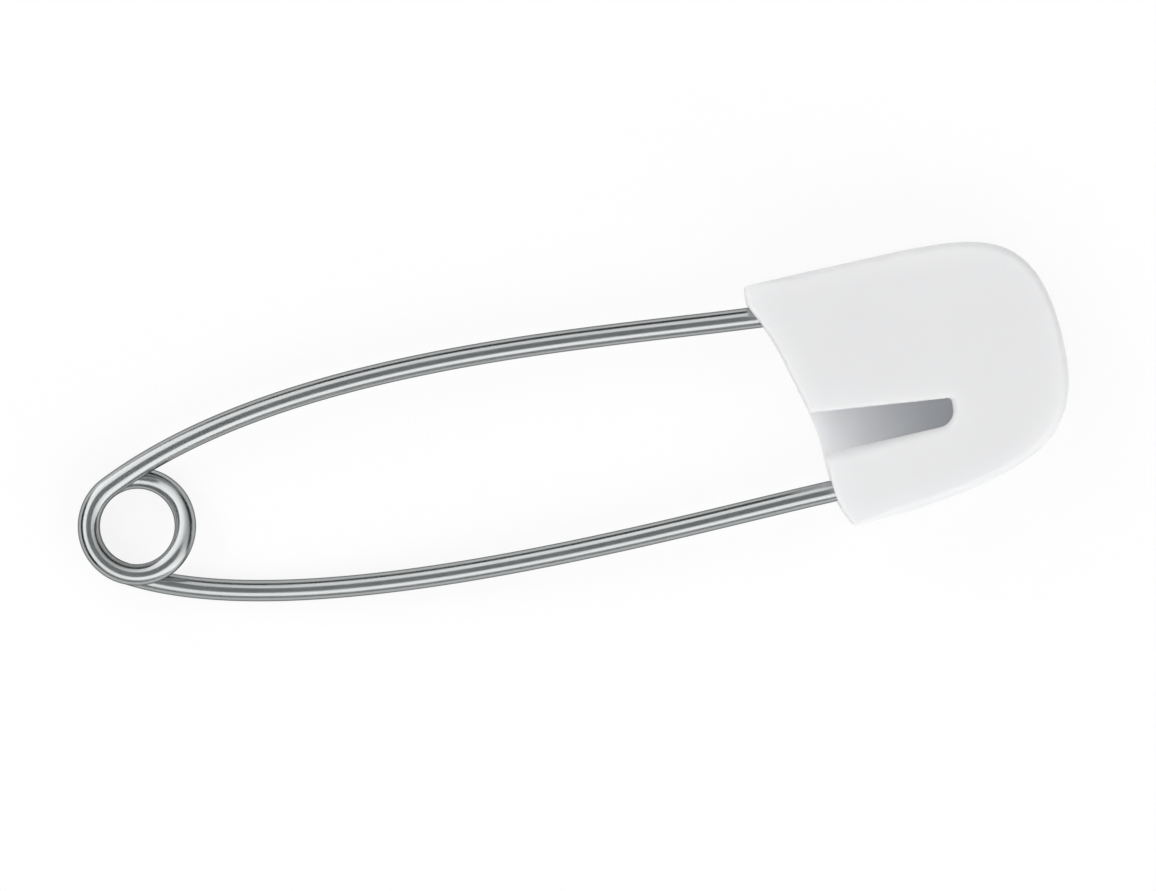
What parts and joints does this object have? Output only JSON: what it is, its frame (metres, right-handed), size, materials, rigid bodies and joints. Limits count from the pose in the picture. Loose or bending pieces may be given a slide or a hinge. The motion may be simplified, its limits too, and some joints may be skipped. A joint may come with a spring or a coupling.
{
  "type": "safety pin",
  "caption": "Closed safety pin: a sprung wire with a coil at one end and a slotted moulded plastic head that locks its point.",
  "frame": {"origin": "under the middle of the pin, on the plane of the head's back", "axes": "+X along the pin from the coil to the head, +Y toward the fixed arm, +Z out of the head's slotted front face"},
  "size_m": [0.056, 0.0146, 0.0062],
  "materials": {
    "white_plastic": "moulded, satin",
    "steel_wire": "drawn wire, bright"
  },
  "bodies": {
    "clasp": {"head": "white_plastic", "fixed_arm": "steel_wire"},
    "coil": {"spring_coil": "steel_wire"},
    "point_arm": {"pin_arm": "steel_wire"}
  },
  "joints": [
    {"name": "arm_swing", "type": "hinge", "parent": "clasp", "child": "coil", "pos_m": [-0.02475, 0.00013, 0.0006], "axis": [0, 0, -1], "range_deg": [0, 36], "deforming": ["spring_coil"]},
    {"name": "point_unhook", "type": "hinge", "parent": "coil", "child": "point_arm", "pos_m": [-0.02175, -0.00396, 0.0006], "axis": [0.9647, -0.014, 0.263], "range_deg": [0, 360]}
  ],
  "couplings": [
    {"joint": "point_unhook", "follows": "arm_swing", "ratio": 10}
  ]
}
